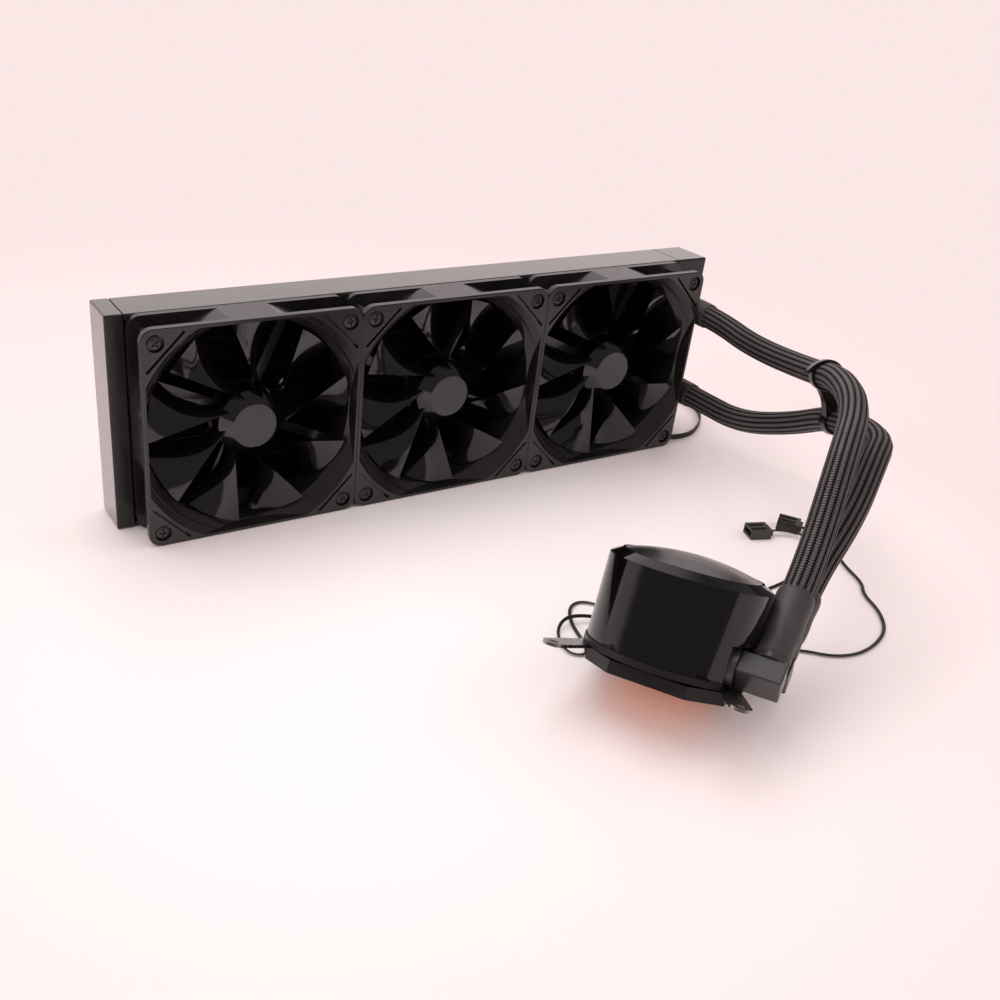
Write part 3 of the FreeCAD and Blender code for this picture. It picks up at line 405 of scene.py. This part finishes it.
def braid(name):
    """Braid: each lengthwise ridge carries a row of fine stitches that point along the hose. Its colour
    carries painted shade in the valleys and between the stitches, and a painted highlight on the crests.
    """
    material, tree, shader = new_material(name)
    split = tree.nodes.new("ShaderNodeSeparateXYZ")
    tree.links.new(tree.nodes.new("ShaderNodeUVMap").outputs["UV"], split.inputs[0])
    around, along = split.outputs[0], split.outputs[1]
    valley = maths(tree, "PINGPONG", maths(tree, "MULTIPLY", around, ridge_count), 0.5)
    valley = maths(tree, "MULTIPLY", valley, 2)
    row = maths(tree, "ADD", maths(tree, "MULTIPLY", along, 1 / (stitch_length * MM)),
                maths(tree, "MULTIPLY", valley, 0.8))
    stitch = maths(tree, "ABSOLUTE", maths(tree, "SINE", maths(tree, "MULTIPLY", row, math.pi)))
    crest = maths(tree, "SUBTRACT", 1, maths(tree, "MULTIPLY", valley, valley))
    crest = maths(tree, "POWER", crest, 1.8)
    place = tree.nodes.new("ShaderNodeTexCoord").outputs["Object"]
    fuzz = noise(tree, place, 900, 3)
    worn = spread(tree, noise(tree, place, 30, 3), 0.3, 0.7, 0.75, 1.0)
    wear = maths(tree, "MULTIPLY", worn, spread(tree, fuzz, 0.3, 0.7, 0.7, 1.0))
    # Painted light: dark in the valleys and stitch gaps as painted shade, light on the crests as a painted
    # highlight, with random wear
    painted_crest_light = maths(tree, "MULTIPLY", maths(tree, "MULTIPLY", stitch, crest), wear)
    tree.links.new(blend_colours(tree, painted_crest_light, (0.0015, 0.0013, 0.0013), (0.170, 0.142, 0.145)),
                   shader.inputs["Base Color"])
    tree.links.new(spread(tree, painted_crest_light, 0, 1, 0.70, 0.30), shader.inputs["Roughness"])
    tree.links.new(spread(tree, painted_crest_light, 0, 0.7, 0.06, 0.95), shader.inputs["Specular IOR Level"])
    normal = bump(tree, stitch, 0.8, 0.4 * MM)
    tree.links.new(bump(tree, fuzz, 0.3, 0.2 * MM, normal), shader.inputs["Normal"])
    return material


# Moulded slots: colour, worn colour, roughness, grain depth, grain scale
moulded_slots = {
    "radiator_paint": ((0.016, 0.0135, 0.014), (0.021, 0.018, 0.0185), 0.22, 0.04, 2600),
    "core_paint": ((0.0015, 0.0015, 0.0015), (0.003, 0.0025, 0.0025), 0.5, 0.05, 2200),
    "port_metal": ((0.02, 0.02, 0.02), (0.03, 0.03, 0.03), 0.35, 0.03, 1500),
    "fan_plastic": ((0.011, 0.0093, 0.0096), (0.016, 0.0135, 0.0138), 0.22, 0.03, 3200),
    "rotor_plastic": ((0.0030, 0.0026, 0.0026), (0.0045, 0.0038, 0.0038), 0.09, 0.006, 3000),
    "magnet": ((0.05, 0.05, 0.05), (0.08, 0.08, 0.08), 0.6, 0.04, 2000),
    "screw_steel": ((0.018, 0.017, 0.018), (0.035, 0.032, 0.032), 0.30, 0.03, 1800),
    "sleeve_rubber": ((0.032, 0.029, 0.030), (0.052, 0.046, 0.046), 0.50, 0.2, 1100),
    "comb_plastic": ((0.006, 0.005, 0.005), (0.010, 0.0085, 0.0085), 0.22, 0.03, 2600),
    "elbow_plastic": ((0.030, 0.027, 0.028), (0.038, 0.034, 0.035), 0.30, 0.03, 2600),
    "shell_gloss": ((0.0020, 0.0018, 0.0018), (0.0030, 0.0026, 0.0026), 0.06, 0.01, 900),
    "cap_gloss": ((0.008, 0.007, 0.007), (0.012, 0.010, 0.010), 0.24, 0.01, 3000),
    "base_plastic": ((0.008, 0.007, 0.007), (0.013, 0.011, 0.010), 0.42, 0.05, 2400),
    "inner_plastic": ((0.05, 0.05, 0.05), (0.07, 0.07, 0.07), 0.5, 0.05, 2400),
    "board": ((0.02, 0.09, 0.045), (0.03, 0.12, 0.06), 0.4, 0.03, 1500),
    "gasket_rubber": ((0.012, 0.012, 0.012), (0.018, 0.018, 0.018), 0.7, 0.06, 2000),
    "lead_rubber": ((0.010, 0.009, 0.009), (0.018, 0.016, 0.016), 0.45, 0.06, 1800),
    "grommet_rubber": ((0.012, 0.012, 0.012), (0.02, 0.02, 0.02), 0.65, 0.05, 2000),
    "plug_plastic": ((0.024, 0.021, 0.019), (0.034, 0.030, 0.027), 0.42, 0.04, 2600),
}
moulded_shine = {
    "radiator_paint": {"specular": 0.35, "grazing": 1.0},
    "core_paint": {"specular": 0.12},
    "fan_plastic": {"specular": 0.6},
    "rotor_plastic": {"specular": 0.75},
    "elbow_plastic": {"specular": 0.6},
    "base_plastic": {"specular": 0.3},
}
# Metal slots: colour, worn colour, roughness
metal_slots = {
    "shaft_steel": ((0.55, 0.55, 0.56), (0.65, 0.65, 0.66), 0.2),
    "bearing_bronze": ((0.50, 0.34, 0.16), (0.58, 0.42, 0.22), 0.45),
    "stator_steel": ((0.35, 0.28, 0.22), (0.45, 0.36, 0.28), 0.4),
    "copper": ((0.97, 0.33, 0.08), (0.98, 0.40, 0.13), 0.2),
    "bracket_steel": ((0.30, 0.27, 0.27), (0.42, 0.39, 0.38), 0.24),
}
materials = {"hose_rubber": braid("hose_rubber")}
for slot, finish in moulded_slots.items():
    materials[slot] = moulded(slot, *finish, **moulded_shine.get(slot, {}))
for slot, finish in metal_slots.items():
    materials[slot] = metal(slot, *finish)

slot_of = {row["node"]: row["material_slot"] for row in frame["record"]["subparts"]}
for node, thing in frame["nodes"].items():
    thing.data.materials.clear()
    thing.data.materials.append(materials[slot_of[node]])


def dress(piece, slot, *nodes):
    """Give a piece its finish, and the nodes that it stands for. None of these pieces moves."""
    piece.data.materials.clear()
    piece.data.materials.append(materials[slot])
    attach(piece, "cooler")
    if nodes:
        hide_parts(*nodes)
    return piece


# Hoses: ridged braid with a shrunk sleeve at each end
def braid_radius(distance, angle):
    crest = abs(math.cos(angle * ridge_count / 2)) ** ridge_sharpness
    return (hose_radius - ridge_depth * (1 - crest)) * MM


def lip(distance, sleeve_length, reach):
    """One at either end of a sleeve, fading to zero within about the reach."""
    edge = min(distance, sleeve_length * MM - distance)
    return math.exp(-max(edge, 0) / (reach * MM))


def radiator_sleeve_radius(distance, angle):
    ridge = sleeve_radiator_ridge * math.cos(angle * ridge_count)
    ridge *= min(1, distance / (sleeve_radiator_plain * MM))
    edge = sleeve_lip * lip(distance, sleeve_radiator_length, 0.8)
    return (hose_radius + sleeve_radiator_wall + ridge - edge) * MM


def pump_sleeve_radius(distance, angle):
    rise = (distance / MM - sleeve_pump_step_at) / 0.9
    step = sleeve_pump_step / (1 + math.exp(-6 * rise))
    wave = sleeve_pump_wave * math.sin(angle * 3 + distance * 420)
    edge = sleeve_lip * lip(distance, sleeve_pump_length, 0.7)
    return (hose_radius + sleeve_pump_wall + step + wave - edge) * MM


hose_lines = {}
for end, pump_end, route in (("upper", "front", upper_hose), ("lower", "rear", lower_hose)):
    line, length = route_line("hose_line_" + end, route)
    hose_lines[end] = line
    hose = tube_mesh("hose_" + end + "_braid", line, braid_radius, ridge_count * 8)
    dress(hose, "hose_rubber", "hose_" + end)
    sleeve_name = "sleeve_radiator_" + end
    radiator_sleeve = tube_mesh(sleeve_name + "_shrunk", first_part(line, length, sleeve_radiator_length),
                                radiator_sleeve_radius, ridge_count * 8)
    dress(radiator_sleeve, "sleeve_rubber", sleeve_name)
    sleeve_name = "sleeve_pump_" + pump_end
    pump_sleeve = tube_mesh(sleeve_name + "_shrunk", first_part(line[::-1], length, sleeve_pump_length),
                            pump_sleeve_radius, 64)
    dress(pump_sleeve, "sleeve_rubber", sleeve_name)


# Pump leads: two wires side by side
def twin_radius(distance, angle):
    return max(lead_radius * abs(math.cos(angle)), 0.42 * lead_radius) * MM


for use, route in (("power", power_lead), ("light", light_lead)):
    line, length = route_line("lead_line_" + use, route)
    lead = tube_mesh("lead_" + use + "_cord", line, twin_radius, 24)
    dress(lead, "lead_rubber", "lead_" + use)


# Fan lead: a ribbon of wires with a coil and a wire tie
def coil_points():
    count = coil_turn_points * coil_turns
    out = []
    for i in range(count + 1):
        angle = math.radians(coil_start - 360 * i / coil_turn_points)
        r = coil_radius_out + (coil_radius_in - coil_radius_out) * i / count
        out.append((coil_centre[0] + r * math.cos(angle), coil_centre[1] + r * math.sin(angle), coil_height))
    return out


def ribbon_outline():
    """Section of the ribbon: a lobe for each wire on both faces."""
    outline = []
    fine = ribbon_wires * 6
    for face in (1, -1):
        for j in range(fine):
            share = j / fine if face > 0 else 1 - j / fine
            lobe = abs(math.sin(share * ribbon_wires * math.pi)) ** 0.6
            outline.append(((share - 0.5) * ribbon_width, face * ribbon_thick / 2 * (0.3 + 0.7 * lobe)))
    return outline


def ribbon_mesh(name, line, length):
    """The ribbon stands on edge and turns flat shortly before its plug."""
    outline = ribbon_outline()
    verts = []
    uvs = []
    for i, (p, distance) in enumerate(zip(line, distances(line))):
        ahead = direction_at(line, i)
        side = ahead.cross(UP).normalized()
        above = side.cross(ahead)
        share = ((distance - length) / MM + ribbon_turn_from) / ribbon_turn_over
        turn = math.pi / 2 * min(max(share, 0), 1)
        tall = above * math.cos(turn) + side * math.sin(turn)
        flat = side * math.cos(turn) - above * math.sin(turn)
        for x, y in outline:
            verts.append(p + tall * (x * MM) + flat * (y * MM))
            uvs.append((x, distance))
    spans = len(line) - 1
    faces = ring_faces(0, spans, len(outline)) + end_faces(0, spans, len(outline))
    return mesh_object(name, verts, faces, uvs, smooth=True)


def tie_mesh():
    """Flat tie around the turns of the coil: an outer and an inner loop, closed at both edges."""
    loops = []
    for inward, outward, low, high in ((1.3, 0.9, 0.05, 4.9), (0.9, 0.6, 0.2, 4.6)):
        near, far = coil_radius_in - inward, coil_radius_out + outward
        loops += [(near, low), (far, low), (far, high), (near, high)]
    verts = []
    for across in (-tie_half, tie_half):
        for r, z in loops:
            verts.append(Vector((coil_centre[0] + r, coil_centre[1] + across, z)) * MM)
    faces = []
    for j in range(4):
        k = (j + 1) % 4
        faces.append((j, k, 8 + k, 8 + j))
        faces.append((4 + k, 4 + j, 12 + j, 12 + k))
        faces.append((k, j, 4 + j, 4 + k))
        faces.append((8 + j, 8 + k, 12 + k, 12 + j))
    return mesh_object("lead_fan_tie", verts, faces)


fan_route = fan_lead_start + coil_points() + fan_lead_end
line, length = route_line("lead_line_fan", fan_route)
fan_lead = dress(ribbon_mesh("lead_fan_ribbon", line, length), "lead_rubber", "lead_fan", "lead_fan_coil")
tie = dress(tie_mesh(), "lead_rubber")


# Comb: a band around each hose, a flap that opens the upper band, and the web between them
def place_along(line, distance):
    step = (line[1] - line[0]).length
    i = min(round(distance * MM / step), len(line) - 2)
    return line[i], direction_at(line, i)


def comb_mesh():
    verts = []
    faces = []
    first, first_ahead = place_along(hose_lines["upper"], comb_stations[0])
    second, second_ahead = place_along(hose_lines["lower"], comb_stations[1])
    half = comb_width / 2
    inner = hose_radius + comb_gap
    outer = inner + comb_wall

    def band(centre, ahead, toward, start, sweep, lift):
        side = (toward - ahead * toward.dot(ahead)).normalized()
        up = ahead.cross(side)
        profile = [(inner, -half), (outer - comb_bevel, -half), (outer, comb_bevel - half),
                   (outer, half - comb_bevel), (outer - comb_bevel, half), (inner, half)]
        base = len(verts)
        count = 56
        for i in range(count + 1):
            angle = math.radians(start + sweep * i / count)
            radial = side * math.cos(angle) + up * math.sin(angle)
            for r, h in profile:
                verts.append(centre + radial * ((r + lift * (i / count) ** 2) * MM) + ahead * (h * MM))
        faces.extend(ring_faces(base, count, len(profile)))
        if lift:
            faces.extend(end_faces(base, count, len(profile)))

    span = second - first
    band(first, first_ahead, span, 0, 360, 0)
    band(second, second_ahead, span, 0, 360, 0)
    band(first, first_ahead, span, comb_flap_start, comb_flap_sweep, comb_flap_lift)

    # The web's ends follow the bands, and its sides dip in between
    along = span.normalized()
    through = first_ahead + second_ahead
    through = (through - along * through.dot(along)).normalized()
    across = along.cross(through)
    middle = inner + comb_wall / 2
    rows = 12
    shares = (-1, -0.6, -0.2, 0.2, 0.6, 1)
    base = len(verts)
    for depth in (0.1 - half, half - 0.1):
        for i in range(rows + 1):
            wide = comb_web_half - comb_web_dip * math.sin(math.pi * i / rows)
            for share in shares:
                low = math.sqrt(max(middle ** 2 - (wide * share) ** 2, 0))
                at = low + (span.length / MM - 2 * low) * i / rows
                verts.append(first + (along * at + across * (wide * share) + through * depth) * MM)
    n = len(shares)
    for i in range(rows):
        front = base + i * n
        back = front + (rows + 1) * n
        for a, b in ((front + j, back + j) for j in range(n - 1)):
            faces.append((a, a + n, a + n + 1, a + 1))
            faces.append((b, b + 1, b + n + 1, b + n))
        faces.append((front, back, back + n, front + n))
        faces.append((front + n - 1, front + 2 * n - 1, back + 2 * n - 1, back + n - 1))
    return mesh_object("hose_comb_clip", verts, faces)


dress(comb_mesh(), "comb_plastic", "hose_comb")


# Fins: one fine folded strip between each pair of tubes
def fin_mesh():
    verts = []
    faces = []
    height = (core_high - core_low + tube_height) / fin_rows - tube_height
    folds = round(2 * core_half / fin_pitch) * 2
    for row in range(fin_rows):
        low = core_low + (height + tube_height) * row
        base = len(verts)
        for j in range(folds + 1):
            x = -core_half + 2 * core_half * j / folds
            z = low + (fin_tube_gap if j % 2 else height - fin_tube_gap)
            for dx, y in ((-1, -1), (1, -1), (1, 1), (-1, 1)):
                verts.append(Vector((x + dx * fin_half_thick, y * fin_half_depth, z)) * MM)
        faces += ring_faces(base, folds, 4)
    return mesh_object("cooling_fins_folded", verts, faces)


dress(fin_mesh(), "core_paint", "cooling_fins")


# Skirts that close the flare behind each front flange, at the four corners of each fan
def skirt_mesh():
    verts = []
    faces = []
    count = 18
    for fan in (-1, 0, 1):
        for quarter in range(4):
            base = len(verts)
            for i in range(count + 1):
                angle = math.radians(90 * quarter + skirt_start + skirt_sweep * i / count)
                for r, y in skirt_profile:
                    verts.append(Vector((fan_pitch * fan + r * math.cos(angle), fan_front + y,
                                         fan_centre_height + r * math.sin(angle))) * MM)
            faces += ring_faces(base, count, 4) + end_faces(base, count, 4)
    return mesh_object("fan_flare_skirts", verts, faces)


dress(skirt_mesh(), "fan_plastic")


# Screws of the fans: pan heads with a cross recess, and their shanks
def screw_mesh():
    verts = []
    faces = []
    around = 48
    head_radii = [0.25 * k for k in range(1, 11)] + [2.9, 3.3, screw_head_radius]
    shank = [(screw_head_radius, screw_head_back), (shank_radius, screw_head_back),
             (shank_radius, shank_end), shank_tip]
    spans = len(head_radii) + len(shank) - 1

    def put(centre, r, angle, y):
        verts.append((centre + Vector((r * math.cos(angle), y, r * math.sin(angle)))) * MM)

    for fan in (-1, 0, 1):
        for sx in (-1, 1):
            for sz in (-1, 1):
                centre = Vector((fan_pitch * fan + fan_hole_half * sx, 0,
                                 fan_centre_height + fan_hole_half * sz))
                turn = 0.7 * (fan + 1) + 1.3 * sx + 0.4 * sz
                base = len(verts)
                put(centre, 0, 0, recess_centre)
                for r in head_radii:
                    for j in range(around):
                        angle = 2 * math.pi * j / around
                        x = abs(r * math.cos(angle - turn))
                        z = abs(r * math.sin(angle - turn))
                        deep = min(x, z) < recess_half and max(x, z) < recess_reach
                        dome = screw_head_dome * (r / screw_head_radius) ** 3
                        put(centre, r, angle, screw_head_front + dome + (recess_depth if deep else 0))
                for r, y in shank:
                    for j in range(around):
                        put(centre, r, 2 * math.pi * j / around, y)
                put(centre, 0, 0, shank_tip[1])
                faces += ring_faces(base + 1, spans, around)
                last = base + 1 + spans * around
                for j in range(around):
                    k = (j + 1) % around
                    faces.append((base, base + 1 + k, base + 1 + j))
                    faces.append((last + j, last + k, last + around))
    return mesh_object("fan_screws_cross", verts, faces)


dress(screw_mesh(), "screw_steel", "fan_screws")

# World: the camera sees the pale background. The object is lit from above, and its gloss
# mirrors a room that is bright behind it and dim in front.
world = bpy.data.worlds.new("studio")
bpy.context.scene.world = world
world.use_nodes = True
world_tree = world.node_tree
background = world_tree.nodes["Background"]
background.inputs["Color"].default_value = (*pale, 1)


def room(toward, low, high, dim, bright):
    """Light of a room: bright towards one side, dim away from it."""
    look = world_tree.nodes.new("ShaderNodeVectorMath")
    look.operation = "DOT_PRODUCT"
    world_tree.links.new(world_tree.nodes.new("ShaderNodeTexCoord").outputs["Generated"], look.inputs[0])
    look.inputs[1].default_value = Vector(toward).normalized()
    node = world_tree.nodes.new("ShaderNodeBackground")
    node.inputs["Color"].default_value = (1.0, 0.88, 0.88, 1)
    ramp = spread(world_tree, look.outputs["Value"], low, high, dim, bright)
    ramp.node.interpolation_type = "SMOOTHSTEP"
    world_tree.links.new(ramp, node.inputs["Strength"])
    return node.outputs[0]


def light_path(tree, kind):
    return tree.nodes.new("ShaderNodeLightPath").outputs[kind]


lit_room = room((-0.1, 0.2, 0.97), -0.6, 0.9, 0.60, 0.95)
mirrored_room = room((0.0, 1.0, 0.05), 0.36, 0.60, 0.20, 1.0)
around_object = mix_shaders(world_tree, light_path(world_tree, "Is Glossy Ray"), lit_room, mirrored_room)
seen = maths(world_tree, "MAXIMUM", light_path(world_tree, "Is Camera Ray"),
             light_path(world_tree, "Is Transmission Ray"))
world_tree.links.new(mix_shaders(world_tree, seen, around_object, background.outputs[0]),
                     world_tree.nodes["World Output"].inputs["Surface"])

# Floor, metres: near white under the object and a pale pink further out, a painted pool of light around the
# object. In the distance, the rays that the camera, a mirror or glass sends out find the background's own
# colour.
floor_reach = 6.0
floor_drop = 0.0001
floor_middle = (0, -0.12, 0)
floor_mesh = bpy.data.meshes.new("floor")
floor_corners = [(x * floor_reach, y * floor_reach, 0) for x, y in ((-1, -1), (1, -1), (1, 1), (-1, 1))]
floor_mesh.from_pydata(floor_corners, [], [(0, 1, 2, 3)])
floor = add_object("floor", floor_mesh)
floor.location.z = -floor_drop
floor_material, floor_tree, floor_shader = new_material("floor")
floor_shader.inputs["Roughness"].default_value = 0.45
measure = floor_tree.nodes.new("ShaderNodeVectorMath")
measure.operation = "DISTANCE"
measure.inputs[1].default_value = floor_middle
floor_tree.links.new(floor_tree.nodes.new("ShaderNodeTexCoord").outputs["Object"], measure.inputs[0])
from_middle = measure.outputs["Value"]
# Painted pool of light: the floor's colour is lighter near the middle and darker further out
floor_painted_light_pool = blend_colours(floor_tree, spread(floor_tree, from_middle, 0.08, 0.34, 0, 1),
                             (0.98, 0.93, 0.925), (0.84, 0.735, 0.73))
floor_tree.links.new(floor_painted_light_pool, floor_shader.inputs["Base Color"])
glow = floor_tree.nodes.new("ShaderNodeEmission")
glow.inputs["Color"].default_value = (*pale, 1)
floor_seen = maths(floor_tree, "MAXIMUM", light_path(floor_tree, "Is Camera Ray"),
                   light_path(floor_tree, "Is Glossy Ray"))
floor_seen = maths(floor_tree, "MAXIMUM", floor_seen, light_path(floor_tree, "Is Transmission Ray"))
glow_share = maths(floor_tree, "MULTIPLY", floor_seen,
                   spread(floor_tree, from_middle, 0.34, 0.75, 0.0, 1.0))
floor_tree.links.new(mix_shaders(floor_tree, glow_share, floor_shader.outputs[0], glow.outputs[0]),
                     floor_tree.nodes["Material Output"].inputs["Surface"])
floor_mesh.materials.append(floor_material)


# Lamps, metres and watts: a large one above, a soft one on each side that no gloss shows
def soft_light(name, place, target, size, power):
    data = bpy.data.lights.new(name, "AREA")
    data.shape = "RECTANGLE"
    data.size, data.size_y = size
    data.energy = power
    lamp = add_object(name, data)
    lamp.location = place
    lamp.rotation_euler = (Vector(target) - Vector(place)).to_track_quat("-Z", "Y").to_euler()
    return lamp


soft_light("top", (-0.2, 0.35, 1.5), (0, -0.1, 0), (1.4, 1.0), 9)
left_lamp = soft_light("left", (-1.3, -0.1, 0.7), (0, -0.1, 0.05), (0.9, 0.9), 4)
right_lamp = soft_light("right", (1.2, -0.5, 0.8), (0, -0.1, 0.05), (0.7, 0.7), 2.5)
left_lamp.visible_glossy = False
right_lamp.visible_glossy = False

bpy.context.scene.view_settings.view_transform = "Standard"
